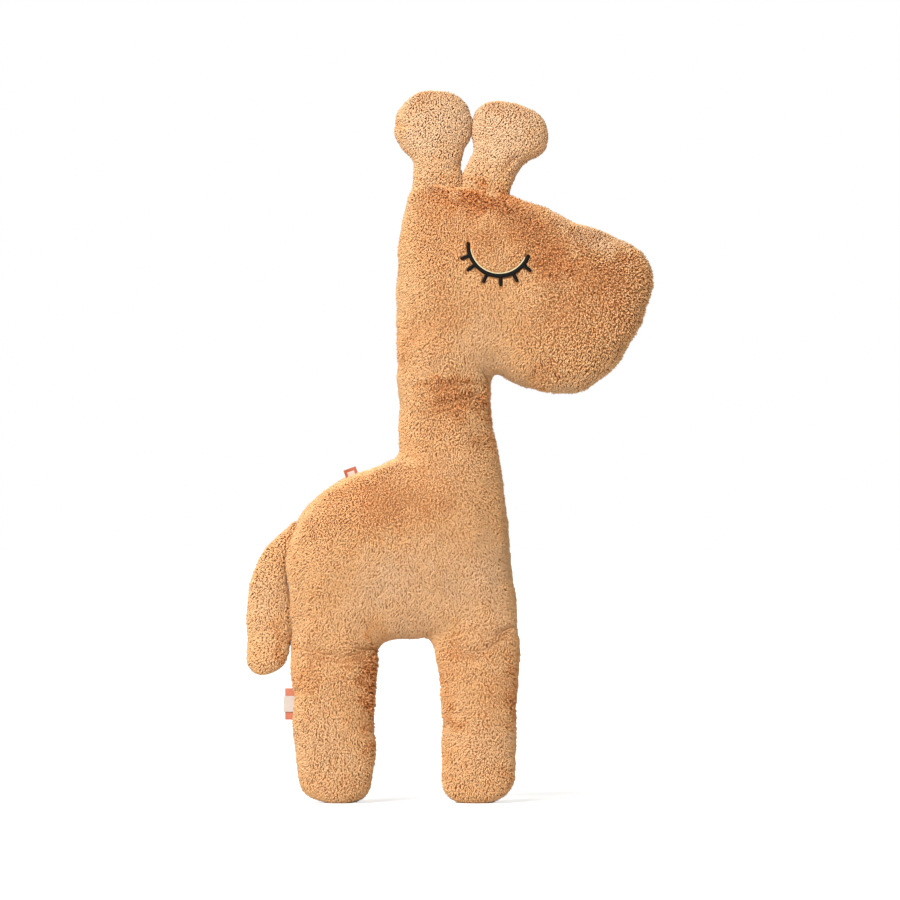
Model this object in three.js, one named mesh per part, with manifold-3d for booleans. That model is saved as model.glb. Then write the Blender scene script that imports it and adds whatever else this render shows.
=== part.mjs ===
// A stuffed plush giraffe, standing on its two legs: near and far plush panels over a fibre filling,
// in sections that bend at the neck, the head, the legs, the tail and the two ossicones.
// Millimetres. +X is the way the giraffe looks, +Z is up, and the seam round it lies in the plane y = 0.
import * as THREE from 'three';
import { ConvexGeometry } from 'three/addons/geometries/ConvexGeometry.js';
import { mergeVertices } from 'three/addons/utils/BufferGeometryUtils.js';
import Module from 'manifold-3d';

// Fabric, and the clearances between pieces that touch
const plushThickness = 5;
const fitGap = 0.3;
const seamGap = 0.3;
const soleCut = 0.5;

// Every stuffed form is a list of sections. A section runs in the plane y = 0 from its rear edge to its
// front edge and swells to halfDepth on both sides of it. Squareness 2 is an ellipse, and more is fuller.

// Torso: places along X from the middle of the neck, heights over the belly
const bellyHeight = 172;
const hipRadius = 45;
const bellyCorner = 34;
const bellyFlatness = 3.4;
const torsoSections = [
  { rear: [-168, 0], front: [73, 0], halfDepth: hipRadius, squareness: 3.4 },
  { rear: [-168, 42], front: [70, 42], halfDepth: hipRadius, squareness: 3.4 },
  { rear: [-170, 78], front: [66, 70], halfDepth: 60, squareness: 2.8 },
  { rear: [-167, 108], front: [63, 95], halfDepth: 67, squareness: 2.5 },
  { rear: [-153, 138], front: [61, 120], halfDepth: 67, squareness: 2.4 },
  { rear: [-117, 166], front: [58.5, 145], halfDepth: 62, squareness: 2.3 },
  { rear: [-81, 179], front: [56, 168], halfDepth: 55, squareness: 2.3 },
  { rear: [-54, 192], front: [53.5, 190], halfDepth: 49, squareness: 2.3 },
];
const withersRound = 14;

// Neck: it bends on a ball at the top of the torso, and heights are over that ball's middle
const neckBallRise = 165;
const neckBallRadius = 54;
const neckSections = [
  { rear: [-50, 0], front: [54, 0], halfDepth: 45, squareness: 2.3 },
  { rear: [-52, 28], front: [53, 28], halfDepth: 46, squareness: 2.3 },
  { rear: [-52, 55], front: [44.6, 55], halfDepth: 44, squareness: 2.3 },
  { rear: [-54.5, 86], front: [43.5, 86], halfDepth: 43, squareness: 2.3 },
  { rear: [-56, 125], front: [44, 125], halfDepth: 43, squareness: 2.3 },
];
const neckEndRound = 10;

// Head: it nods on a ball of its own that the neck cups, and places are from that ball's middle
const headBallRise = 138;
const headBallRadius = 55;
const headSections = [
  { rear: [-64, -18], front: [-54, 158], halfDepth: 50, squareness: 2.3 },
  { rear: [-25, -27], front: [-22, 171], halfDepth: 57, squareness: 2.3 },
  { rear: [42, -27], front: [42, 169], halfDepth: 60, squareness: 2.3 },
  { rear: [90, -43], front: [98, 151], halfDepth: 58, squareness: 2.3 },
  { rear: [128, -48], front: [147, 131], halfDepth: 53, squareness: 2.4 },
  { rear: [157, -36], front: [188, 114], halfDepth: 47, squareness: 2.4 },
  { rear: [183, -2], front: [208, 97], halfDepth: 42, squareness: 2.4 },
  { rear: [196, 6], front: [221, 86], halfDepth: 38, squareness: 2.4 },
];
const napeRound = 16;
const napeDepthRound = 44;
const muzzleRound = 15;
const muzzleDepthRound = 30;

// Legs: places along X from the middle of the neck, heights over the floor. Toes round along X and soles
// along Y, and a first ring lies close over the cut of the sole.
const frontLegSections = [
  { rear: [-10, 0], front: [68, 0], halfDepth: 33, squareness: 2.4 },
  { rear: [-6, 62], front: [70, 62], halfDepth: 33, squareness: 2.4 },
  { rear: [-11, 129], front: [73, 129], halfDepth: 35, squareness: 2.4 },
  { rear: [-14, 166], front: [74, 166], halfDepth: 37, squareness: 2.4 },
  { rear: [-22, 210], front: [72, 210], halfDepth: 37, squareness: 2.4 },
];
const rearLegSections = [
  { rear: [-159, 0], front: [-79, 0], halfDepth: 33, squareness: 2.4 },
  { rear: [-163, 62], front: [-80, 62], halfDepth: 33, squareness: 2.4 },
  { rear: [-166, 129], front: [-77, 129], halfDepth: 35, squareness: 2.4 },
  { rear: [-166, 166], front: [-74, 166], halfDepth: 37, squareness: 2.4 },
  { rear: [-166, 210], front: [-66, 210], halfDepth: 37, squareness: 2.4 },
];
const toeRound = 24;
const toePower = 2.1;
const solePower = 4.5;
const soleRingRise = 0.1;
const legTopRound = 12;

// Tail: places along X from the middle of the neck, heights over the belly
const tailSections = [
  { rear: [-164, 130], front: [-142, 106], halfDepth: 13, squareness: 2.2 },
  { rear: [-189, 100], front: [-158, 80], halfDepth: 15, squareness: 2.2 },
  { rear: [-205, 70], front: [-166, 54], halfDepth: 17, squareness: 2.2 },
  { rear: [-212, 28], front: [-169, 24], halfDepth: 17, squareness: 2.2 },
  { rear: [-212, -38], front: [-170.5, -34], halfDepth: 15, squareness: 2.2 },
];
const tailRootRound = 8;
const tailTipRound = 18;
const tailTipPower = 2.4;
const tailSeam = [-168, 104];

// Ossicones: feet from the middle of the head's ball, sections from the middle of the seam at each foot
const rearOssiconeFoot = [-13.5, 170];
const rearOssiconeSections = [
  { rear: [-25, -14], front: [26, -14], halfDepth: 18, squareness: 2.2 },
  { rear: [-24.5, 10], front: [25.5, 10], halfDepth: 18, squareness: 2.2 },
  { rear: [-26, 31], front: [22.5, 31], halfDepth: 20, squareness: 2.2 },
  { rear: [-43, 50], front: [33.5, 49], halfDepth: 25, squareness: 2.2 },
  { rear: [-47, 68], front: [36, 66], halfDepth: 28, squareness: 2.2 },
  { rear: [-42, 86], front: [34, 84], halfDepth: 26, squareness: 2.2 },
  { rear: [-30, 104], front: [25, 104], halfDepth: 20, squareness: 2.2 },
];
const frontOssiconeFoot = [39.5, 166];
const frontOssiconeSections = [
  { rear: [-27, -12], front: [20, -14], halfDepth: 18, squareness: 2.2 },
  { rear: [-25, 14], front: [24, 9], halfDepth: 18, squareness: 2.2 },
  { rear: [-20, 31], front: [31, 23], halfDepth: 20, squareness: 2.2 },
  { rear: [-15.5, 48], front: [56, 37], halfDepth: 25, squareness: 2.2 },
  { rear: [-15.5, 66], front: [64, 56], halfDepth: 28, squareness: 2.2 },
  { rear: [-12, 86], front: [59, 76], halfDepth: 26, squareness: 2.2 },
  { rear: [-4, 101], front: [44, 94], halfDepth: 20, squareness: 2.2 },
];
const ossiconeRootRound = 4;
const knobRound = 15;

// Closed eye with its lashes, embroidered on both sides of the head. Angles count from the nose, upwards.
const eyeMiddle = [52.3, 110];
const eyeRadius = 32.5;
const eyeFrom = 173;
const eyeTo = 343;
const threadWidth = 4.2;
const threadHeight = 1.5;
const lashAngles = [200, 219, 247, 272, 296, 320];
const lashReach = 10;
const edgingWidth = 1.3;

// Woven loop label in the back seam: its root from the middle of the neck and over the belly
const backLabelRoot = [-102, 171.5];
const backLabelTilt = 20;
const backLabelWidth = 13.6;
const backLabelReach = 8;

// Care label in the rear leg's seam, a folded cover and a page on its near side: its root over the floor
const careLabelRoot = [-165.5, 104];
const careCoverWidth = 33;
const careCoverReach = 6;
const carePageWidth = 17;
const carePageReach = 8.5;
const tapeThickness = 0.8;
const tapeSlot = 0.6;

// How far each joint turns each way, in degrees
const neckTilt = 15;
const headNod = 12;
const ossiconeFlop = 20;
const tailWag = 25;
const backLabelFlap = 50;
const careLabelFlap = 60;

// Facets round the outside of a form, round the inside of its plush, round a ball, and along each bend of
// an eye and a tape
const outerSides = 14;
const innerSides = 8;
const ballSides = 16;
const eyeBendSteps = 9;
const tapeBendSteps = 3;
const lengthSteps = 400;

const alongX = new THREE.Vector3(1, 0, 0);
const alongY = new THREE.Vector3(0, 1, 0);
const alongZ = new THREE.Vector3(0, 0, 1);

const wasm = await Module();
wasm.setup();

// Turns a closed geometry into a solid that can be cut and joined
function solid(geometry) {
  const bare = geometry.clone();
  bare.deleteAttribute('normal');
  bare.deleteAttribute('uv');
  const merged = mergeVertices(bare, 1e-4);
  return new wasm.Manifold(new wasm.Mesh({
    numProp: 3,
    vertProperties: new Float32Array(merged.attributes.position.array),
    triVerts: new Uint32Array(merged.index.array),
  }));
}

function geometryOf(piece) {
  const mesh = piece.getMesh();
  const geometry = new THREE.BufferGeometry();
  geometry.setAttribute('position', new THREE.BufferAttribute(new Float32Array(mesh.vertProperties), 3));
  geometry.setIndex(new THREE.BufferAttribute(new Uint32Array(mesh.triVerts), 1));
  return geometry;
}

// An end that closes over its rounds in width and in depth, the rounder the lower their powers, with its
// count of rings and a first ring of its own at a distance from the tip
const end = (width, depth, rings, widthPower = 2, depthPower = 2, firstRing = 0) => (
  { width, depth, rings, widthPower, depthPower, firstRing, length: Math.max(width, depth) });

// How wide a closing end is at a distance from its tip, as a share of its full width
function closing(distance, length, power) {
  if (distance >= length) return 1;
  return (1 - (1 - distance / length) ** power) ** (1 / power);
}

// Distances along a form for its rings: close together where an end rounds, even between the two ends
function ringPlaces(length, low, high, between, coarseness) {
  const places = low.firstRing ? [low.firstRing] : [];
  const lowRings = Math.ceil(low.rings / coarseness);
  const highRings = Math.ceil(high.rings / coarseness);
  for (let i = 1; i <= lowRings; i += 1) {
    places.push(low.length * (1 - Math.cos((i / lowRings) * Math.PI / 2)));
  }
  const span = length - low.length - high.length;
  for (let i = 1; i < between; i += 1) places.push(low.length + (span * i) / between);
  for (let i = highRings; i >= 1; i -= 1) {
    places.push(length - high.length * (1 - Math.cos((i / highRings) * Math.PI / 2)));
  }
  return places;
}

// A swelling, tapering form through its sections, closed at both ends
function stuffed({ sections, origin, low, high, between }, sides, coarseness) {
  const at = ([x, z]) => new THREE.Vector2(origin[0] + x, origin[1] + z);
  const rear = new THREE.SplineCurve(sections.map((s) => at(s.rear)));
  const front = new THREE.SplineCurve(sections.map((s) => at(s.front)));
  const middle = new THREE.SplineCurve(sections.map((s) => at(s.rear).add(at(s.front)).divideScalar(2)));
  const fullness = new THREE.SplineCurve(sections.map((s) => new THREE.Vector2(s.halfDepth, s.squareness)));
  middle.arcLengthDivisions = lengthSteps;
  const length = middle.getLength();
  const places = ringPlaces(length, low, high, between, coarseness);
  const positions = [];
  const tip = (t) => {
    const p = rear.getPoint(t).add(front.getPoint(t)).divideScalar(2);
    positions.push(p.x, 0, p.y);
  };
  tip(0);
  for (const place of places) {
    const t = middle.getUtoTmapping(place / length);
    const a = rear.getPoint(t);
    const b = front.getPoint(t);
    const [halfDepth, squareness] = fullness.getPoint(t).toArray();
    const fromHigh = length - place;
    const width = closing(place, low.width, low.widthPower)
      * closing(fromHigh, high.width, high.widthPower);
    const depth = closing(place, low.depth, low.depthPower)
      * closing(fromHigh, high.depth, high.depthPower);
    for (let k = 0; k < sides; k += 1) {
      const angle = (2 * Math.PI * k) / sides;
      const across = Math.sign(Math.cos(angle)) * Math.abs(Math.cos(angle)) ** (2 / squareness);
      const out = Math.sign(Math.sin(angle)) * Math.abs(Math.sin(angle)) ** (2 / squareness);
      const p = a.clone().lerp(b, 0.5 + 0.5 * across * width);
      positions.push(p.x, -out * halfDepth * depth, p.y);
    }
  }
  tip(1);
  return closedRings(positions, places.length, sides);
}

// The skin of rings of points between a first and a last point, with its faces outwards
function closedRings(positions, rings, sides) {
  const index = [];
  const last = positions.length / 3 - 1;
  const corner = (ring, k) => 1 + ring * sides + (k % sides);
  for (let k = 0; k < sides; k += 1) {
    index.push(0, corner(0, k + 1), corner(0, k));
    for (let ring = 0; ring < rings - 1; ring += 1) {
      index.push(corner(ring, k), corner(ring, k + 1), corner(ring + 1, k));
      index.push(corner(ring, k + 1), corner(ring + 1, k + 1), corner(ring + 1, k));
    }
    index.push(last, corner(rings - 1, k), corner(rings - 1, k + 1));
  }
  const geometry = new THREE.BufferGeometry();
  geometry.setAttribute('position', new THREE.Float32BufferAttribute(positions, 3));
  geometry.setIndex(volumeOf(positions, index) > 0 ? index : index.reverse());
  return geometry;
}

function volumeOf(positions, index) {
  const corner = (i) => new THREE.Vector3().fromArray(positions, 3 * index[i]);
  let volume = 0;
  for (let i = 0; i < index.length; i += 3) {
    volume += corner(i).dot(corner(i + 1).cross(corner(i + 2))) / 6;
  }
  return volume;
}

// The same form with its skin moved out along its normals, or in for a distance under 0
function grown(form, distance) {
  const geometry = form.clone();
  geometry.computeVertexNormals();
  const { position, normal } = geometry.attributes;
  for (let i = 0; i < position.count; i += 1) {
    position.setXYZ(
      i,
      position.getX(i) + distance * normal.getX(i),
      position.getY(i) + distance * normal.getY(i),
      position.getZ(i) + distance * normal.getZ(i),
    );
  }
  return solid(geometry);
}

// A stuffed form with its skin moved out or in: fine outside, and coarser under its plush
function skinOf(shape) {
  const outside = stuffed(shape, outerSides, 1);
  const inside = stuffed(shape, innerSides, 2);
  return (distance) => grown(distance < 0 ? inside : outside, distance);
}

// A solid turned about the line along an axis through a centre, from [place along it, radius] points
function turned(profile, axis, centre, facets) {
  const points = profile.map(([along, radius]) => new THREE.Vector2(Math.max(radius, 0), along));
  const geometry = new THREE.LatheGeometry(points, facets);
  if (axis === alongX) geometry.rotateZ(-Math.PI / 2);
  const piece = solid(geometry.translate(centre[0], 0, centre[1]));
  return piece.volume() > 0 ? piece : solid(geometry.scale(1, -1, 1));
}

// The widening that keeps the facets of a socket outside the round that turns in it
const widening = 1 / Math.cos(Math.PI / ballSides);

function ball(radius, axis, centre, facets, stretch = 1) {
  const steps = facets / 2;
  const profile = [];
  for (let i = 0; i <= steps; i += 1) {
    const angle = -Math.PI / 2 + (Math.PI * i) / steps;
    profile.push([radius * Math.sin(angle), i % steps ? stretch * radius * Math.cos(angle) : 0]);
  }
  return turned(profile, axis, centre, facets);
}

// A form's skin with the ball that its neighbour turns on
function withBall(skinAt, radius, axis, centre) {
  return (distance) => {
    const facets = distance < 0 ? innerSides : ballSides;
    return skinAt(distance).add(ball(radius + distance, axis, centre, facets));
  };
}

const socket = (radius, axis, centre) => ball(radius + fitGap, axis, centre, ballSides, widening);

const less = (piece, cutters) => cutters.reduce((left, cutter) => left.subtract(cutter), piece);

// A piece swung by an angle about the line along an axis through a place in the plane y = 0
function swung(piece, axis, degrees, [x, z]) {
  const swing = new THREE.Matrix4().makeTranslation(x, 0, z);
  swing.multiply(new THREE.Matrix4().makeRotationAxis(axis, THREE.MathUtils.degToRad(degrees)));
  swing.multiply(new THREE.Matrix4().makeTranslation(-x, 0, -z));
  return piece.transform(swing.elements);
}

// A piece at rest and at both ends of its swing
const sweep = (piece, axis, degrees, centre) => (
  [-degrees, 0, degrees].map((angle) => swung(piece, axis, angle, centre)));

function cornersOf(piece) {
  const { vertProperties } = piece.getMesh();
  const corners = [];
  for (let i = 0; i < vertProperties.length; i += 3) {
    corners.push(new THREE.Vector3().fromArray(vertProperties, i));
  }
  return corners;
}

// The solid round all of some pieces, with what lies between them filled
const hullOf = (pieces) => solid(new ConvexGeometry(pieces.flatMap(cornersOf)));

// The largest body of a piece that a cut has left in several
const largest = (piece) => piece.decompose().reduce((a, b) => (a.volume() > b.volume() ? a : b));

const block = (x, y, z, centre) => solid(new THREE.BoxGeometry(x, y, z).translate(...centre));
const reach = 2000;
const nearSide = block(reach, reach, reach, [0, -(reach + seamGap) / 2, 0]);
const farSide = block(reach, reach, reach, [0, (reach + seamGap) / 2, 0]);
const floorBlock = block(reach, reach, reach, [0, 0, -reach / 2]);

const cloth = (color) => new THREE.MeshStandardMaterial({ color, roughness: 0.95, metalness: 0 });
const plush = cloth('#dba470');
const fibre = cloth('#f0ece2');
const blackThread = cloth('#1f1b1a');
const creamThread = cloth('#ecdcc0');
const coralTape = cloth('#f0846c');
const whiteTape = cloth('#f1ede6');

function addMesh(group, name, body, material, pivot) {
  const mesh = new THREE.Mesh(geometryOf(body).translate(-pivot[0], 0, -pivot[1]), material);
  mesh.name = name;
  group.add(mesh);
}

function groupNamed(name) {
  const group = new THREE.Group();
  group.name = name;
  return group;
}

// A section's two panels and its filling, as meshes in a group that sits at the section's joint
function section(name, skinAt, cutters, pivot) {
  const group = groupNamed(name);
  const shell = less(skinAt(0).subtract(skinAt(-plushThickness)), cutters);
  const core = less(skinAt(-plushThickness - fitGap), cutters);
  addMesh(group, `${name}_near_panel`, largest(shell.intersect(nearSide)), plush, pivot);
  addMesh(group, `${name}_far_panel`, largest(shell.intersect(farSide)), plush, pivot);
  addMesh(group, `${name}_filling`, largest(core), fibre, pivot);
  return { group, pivot };
}

// Torso
const torsoOrigin = [0, bellyHeight];
const neckPivot = [0, bellyHeight + neckBallRise];
const hipHeight = bellyHeight + hipRadius;
const torsoSkin = skinOf({
  sections: torsoSections,
  origin: torsoOrigin,
  low: end(bellyCorner, hipRadius, 4, bellyFlatness),
  high: end(withersRound, withersRound, 2),
  between: 6,
});
const torso = section('torso', withBall(torsoSkin, neckBallRadius, alongX, neckPivot), [], torsoOrigin);

// Head
const headPivot = [neckPivot[0], neckPivot[1] + headBallRise];
const headSkin = skinOf({
  sections: headSections,
  origin: headPivot,
  low: end(napeRound, napeDepthRound, 4),
  high: end(muzzleRound, muzzleDepthRound, 3),
  between: 6,
});
const head = section('head', withBall(headSkin, headBallRadius, alongY, headPivot), [], headPivot);

// Neck, cut by the torso and by the head in every way that they lean
const neckSkin = skinOf({
  sections: neckSections,
  origin: neckPivot,
  low: end(neckEndRound, neckEndRound, 2),
  high: end(neckEndRound, neckEndRound, 2),
  between: 4,
});
const neck = section('neck', neckSkin, [
  socket(neckBallRadius, alongX, neckPivot),
  socket(headBallRadius, alongY, headPivot),
  ...sweep(torsoSkin(fitGap), alongX, neckTilt, neckPivot),
  ...sweep(headSkin(fitGap), alongY, headNod, headPivot),
], neckPivot);

// The torso's belly turned about the line of the hips: a solid without hollows that is as wide, at each place
// along X, as the belly reaches from that line
function hipRound() {
  const reaches = cornersOf(torsoSkin(fitGap))
    .filter((p) => p.z <= hipHeight)
    .map((p) => [p.x, Math.hypot(p.y, hipHeight - p.z) * widening])
    .sort((a, b) => a[0] - b[0] || a[1] - b[1]);
  const hollow = (a, b, c) => (b[0] - a[0]) * (c[1] - a[1]) >= (b[1] - a[1]) * (c[0] - a[0]);
  const profile = [];
  for (const point of reaches) {
    while (profile.length > 1 && hollow(profile.at(-2), profile.at(-1), point)) profile.pop();
    profile.push(point);
  }
  const closed = [[profile[0][0], 0], ...profile, [profile.at(-1)[0], 0]];
  return turned(closed, alongX, [0, hipHeight], ballSides);
}

// Legs, standing on soles that are cut flat
function leg(name, sections) {
  const skin = skinOf({
    sections,
    origin: [0, -soleCut],
    low: end(toeRound, toeRound, 4, toePower, solePower, soleCut + soleRingRise),
    high: end(legTopRound, legTopRound, 1),
    between: 3,
  });
  const pivot = [(sections.at(-1).rear[0] + sections.at(-1).front[0]) / 2, hipHeight];
  return { skin, ...section(name, skin, [hipRound(), torsoSkin(fitGap), floorBlock], pivot) };
}

const frontLeg = leg('front_leg', frontLegSections);
const rearLeg = leg('rear_leg', rearLegSections);

// Tail, cut by the rump as it wags
const tailPivot = [tailSeam[0], bellyHeight + tailSeam[1]];
const tailSkin = skinOf({
  sections: tailSections,
  origin: torsoOrigin,
  low: end(tailRootRound, tailRootRound, 2),
  high: end(tailTipRound, tailTipRound, 3, tailTipPower),
  between: 4,
});
const tailCutter = hullOf(sweep(torsoSkin(fitGap), alongX, tailWag, tailPivot));
const tail = section('tail', tailSkin, [tailCutter], tailPivot);

// Ossicones, cut by the crown as they flop
function ossicone(name, sections, foot) {
  const pivot = [headPivot[0] + foot[0], headPivot[1] + foot[1]];
  const skin = skinOf({
    sections,
    origin: pivot,
    low: end(ossiconeRootRound, ossiconeRootRound, 1),
    high: end(knobRound, knobRound, 3),
    between: 6,
  });
  return section(name, skin, sweep(headSkin(fitGap), alongX, ossiconeFlop, pivot), pivot);
}

const rearOssicone = ossicone('rear_ossicone', rearOssiconeSections, rearOssiconeFoot);
const frontOssicone = ossicone('front_ossicone', frontOssiconeSections, frontOssiconeFoot);

// A shape drawn in X and Z and drawn out along Y through the whole head, both ways
function throughHead(shape) {
  const geometry = new THREE.ExtrudeGeometry(shape, {
    depth: reach,
    bevelEnabled: false,
    curveSegments: eyeBendSteps,
  });
  return solid(geometry.rotateX(Math.PI / 2).translate(
    headPivot[0] + eyeMiddle[0],
    reach / 2,
    headPivot[1] + eyeMiddle[1],
  ));
}

function arcBand(inner, outer) {
  const from = THREE.MathUtils.degToRad(eyeFrom);
  const to = THREE.MathUtils.degToRad(eyeTo);
  const shape = new THREE.Shape();
  shape.absarc(0, 0, outer, from, to, false);
  shape.absarc(0, 0, inner, to, from, true);
  return throughHead(shape);
}

function lash(degrees) {
  const angle = THREE.MathUtils.degToRad(degrees);
  const tipRadius = threadWidth / 2;
  const length = lashReach - tipRadius;
  const shape = new THREE.Shape();
  shape.moveTo(0, -tipRadius);
  shape.absarc(length, 0, tipRadius, -Math.PI / 2, Math.PI / 2, false);
  shape.lineTo(0, tipRadius);
  const placed = shape.getPoints(tapeBendSteps)
    .map((p) => p.add(new THREE.Vector2(eyeRadius, 0)).rotateAround(new THREE.Vector2(), angle));
  return throughHead(new THREE.Shape(placed));
}

// Embroidery lies as a layer over the plush of the head
const threadLayer = headSkin(fitGap + threadHeight).subtract(headSkin(fitGap));
const eyeInner = eyeRadius - threadWidth / 2;
const lidShape = arcBand(eyeInner, eyeInner + threadWidth);
const eyeShape = lashAngles.map(lash).reduce((all, one) => all.add(one), lidShape);
const edgingOuter = eyeInner - seamGap;
const edgingShape = arcBand(edgingOuter - edgingWidth, edgingOuter);
for (const [side, half] of [['near', nearSide], ['far', farSide]]) {
  const layer = threadLayer.intersect(half);
  addMesh(head.group, `${side}_eye_embroidery`, largest(layer.intersect(eyeShape)), blackThread, headPivot);
  addMesh(head.group, `${side}_eye_edging`, largest(layer.intersect(edgingShape)), creamThread, headPivot);
}

// A tape folded to a loop: a cross-section in X and Y that reaches out along X from its root at 0
const loopThickness = 2 * tapeThickness + tapeSlot;
function tapeLoop(length, width) {
  const stadium = (path, radius) => {
    path.absarc(0, 0, radius, Math.PI / 2, (3 * Math.PI) / 2, false);
    path.absarc(length, 0, radius, -Math.PI / 2, Math.PI / 2, false);
    return path;
  };
  const loop = stadium(new THREE.Shape(), loopThickness / 2);
  loop.holes.push(stadium(new THREE.Path(), tapeSlot / 2));
  const geometry = new THREE.ExtrudeGeometry(loop, {
    depth: width,
    bevelEnabled: false,
    curveSegments: tapeBendSteps,
  });
  return geometry.translate(0, 0, -width / 2);
}

// Labels, each cut by the plush that it is sewn to as it flaps on its root
const backLabel = {
  group: groupNamed('back_label'),
  pivot: [backLabelRoot[0], bellyHeight + backLabelRoot[1]],
};
const backTilt = THREE.MathUtils.degToRad(backLabelTilt);
const backLine = alongX.clone().applyAxisAngle(alongY, -backTilt);
const backLoop = solid(tapeLoop(backLabelReach, backLabelWidth)
  .rotateY(-Math.PI / 2 - backTilt)
  .translate(backLabel.pivot[0], 0, backLabel.pivot[1]));
const backCutters = sweep(torsoSkin(fitGap), backLine, backLabelFlap, backLabel.pivot);
addMesh(backLabel.group, 'back_label_tape', less(backLoop, backCutters), coralTape, backLabel.pivot);

const careLabel = { group: groupNamed('care_label'), pivot: careLabelRoot };
const careCover = solid(tapeLoop(careCoverReach, careCoverWidth)
  .rotateZ(Math.PI)
  .translate(careLabel.pivot[0], 0, careLabel.pivot[1]));
const carePage = block(carePageReach, tapeThickness, carePageWidth, [
  careLabel.pivot[0] - carePageReach / 2,
  -(loopThickness + tapeThickness) / 2 - fitGap,
  careLabel.pivot[1],
]);
const careCutters = sweep(rearLeg.skin(fitGap), alongZ, careLabelFlap, careLabel.pivot);
addMesh(careLabel.group, 'care_label_cover', less(careCover, careCutters), coralTape, careLabel.pivot);
addMesh(careLabel.group, 'care_label_page', largest(less(carePage, careCutters)), whiteTape, careLabel.pivot);

// A group set in its parent, each with its own joint as its origin
function seat(parent, child) {
  child.group.position.set(child.pivot[0] - parent.pivot[0], 0, child.pivot[1] - parent.pivot[1]);
  parent.group.add(child.group);
}

seat(torso, neck);
seat(neck, head);
seat(torso, frontLeg);
seat(torso, rearLeg);
seat(torso, tail);
seat(head, rearOssicone);
seat(head, frontOssicone);
seat(torso, backLabel);
seat(rearLeg, careLabel);

// The whole, with the middle of its outline over the origin
const giraffe = groupNamed('plush_giraffe');
torso.group.position.set(torsoOrigin[0], 0, torsoOrigin[1]);
giraffe.add(torso.group);
const outline = new THREE.Box3().setFromObject(giraffe);
torso.group.position.x -= (outline.min.x + outline.max.x) / 2;

export default giraffe;
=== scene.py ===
import math

import bmesh
import bpy
import numpy as np
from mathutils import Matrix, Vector


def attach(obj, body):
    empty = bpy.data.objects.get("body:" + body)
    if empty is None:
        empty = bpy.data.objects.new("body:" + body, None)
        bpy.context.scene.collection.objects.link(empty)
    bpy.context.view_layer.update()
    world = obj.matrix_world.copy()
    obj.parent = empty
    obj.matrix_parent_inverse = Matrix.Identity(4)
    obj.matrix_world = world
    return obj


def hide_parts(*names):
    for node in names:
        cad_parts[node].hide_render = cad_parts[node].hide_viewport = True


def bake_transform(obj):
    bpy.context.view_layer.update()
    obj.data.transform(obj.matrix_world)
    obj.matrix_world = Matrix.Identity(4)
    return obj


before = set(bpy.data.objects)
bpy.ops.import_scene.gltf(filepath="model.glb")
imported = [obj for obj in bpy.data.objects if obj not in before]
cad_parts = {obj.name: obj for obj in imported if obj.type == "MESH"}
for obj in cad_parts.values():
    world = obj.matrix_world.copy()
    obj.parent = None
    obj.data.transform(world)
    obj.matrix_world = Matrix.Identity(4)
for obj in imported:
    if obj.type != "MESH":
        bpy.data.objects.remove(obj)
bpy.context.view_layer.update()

# The body's skin: the knitted back of the plush. Torso, neck, head and both legs are one stuffed cushion,
# cut as a near and a far panel, sewn together along the outline and turned. One skin is made for all of
# it, so that it runs on without a step, and a later section parts it where the toy bends.
MM = 0.001
PILE_HEIGHT = 4.6 * MM
BODY_VOXEL = 4.6 * MM
BODY_ROUNDING = 1.0 * MM
BODY_SWELL = 3.0 * MM
RELAX_ROUNDS = 8
CLOTH_PRESSURE = 4.0
CLOTH_SHRINK = -0.02
CLOTH_TENSION = 15
CLOTH_BENDING = 0.3
CLOTH_FRAMES = 20
OUTLINE_GIVES = 0.25
STRETCHES = ("torso", "neck", "head", "front_leg", "rear_leg")


def soft_solids(stretch):
    """The names of the solids that one stuffed stretch is made of."""
    return [f"{stretch}_near_panel", f"{stretch}_far_panel", f"{stretch}_filling"]


def values_of(items, name, width, kind=np.float32):
    """A value of each of a mesh's items, as the rows of one array."""
    found = np.empty(len(items) * width, kind)
    items.foreach_get(name, found)
    return found.reshape(-1, width)


def points_of(mesh):
    """A mesh's points."""
    return values_of(mesh.vertices, "co", 3).astype(float)


def set_points(mesh, points):
    """Puts an array of points back into a mesh."""
    mesh.vertices.foreach_set("co", points.astype(np.float32).ravel())
    mesh.update()


def normals_of(mesh):
    """A mesh's smooth normals, one for each point."""
    return values_of(mesh.vertex_normals, "vector", 3).astype(float)


def triangles_of(mesh):
    """A mesh's triangles as rows of three point numbers."""
    mesh.calc_loop_triangles()
    return values_of(mesh.loop_triangles, "vertices", 3, np.int32)


def mesh_from(name, points, triangles):
    """A mesh of triangles, shaded smooth."""
    mesh = bpy.data.meshes.new(name)
    mesh.vertices.add(len(points))
    mesh.vertices.foreach_set("co", points.astype(np.float32).ravel())
    mesh.loops.add(triangles.size)
    mesh.loops.foreach_set("vertex_index", triangles.astype(np.int32).ravel())
    mesh.polygons.add(len(triangles))
    mesh.polygons.foreach_set("loop_start", np.arange(0, triangles.size, 3, dtype=np.int32))
    mesh.polygons.foreach_set("use_smooth", np.ones(len(triangles), bool))
    mesh.update(calc_edges=True)
    return mesh


def shown(name, made_of):
    """An object in the scene for a mesh, lamp or camera."""
    piece = bpy.data.objects.new(name, made_of)
    bpy.context.scene.collection.objects.link(piece)
    return piece


def finished_mesh(piece):
    """The mesh that a piece's modifiers make."""
    seen = piece.evaluated_get(bpy.context.evaluated_depsgraph_get())
    return bpy.data.meshes.new_from_object(seen)


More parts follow.
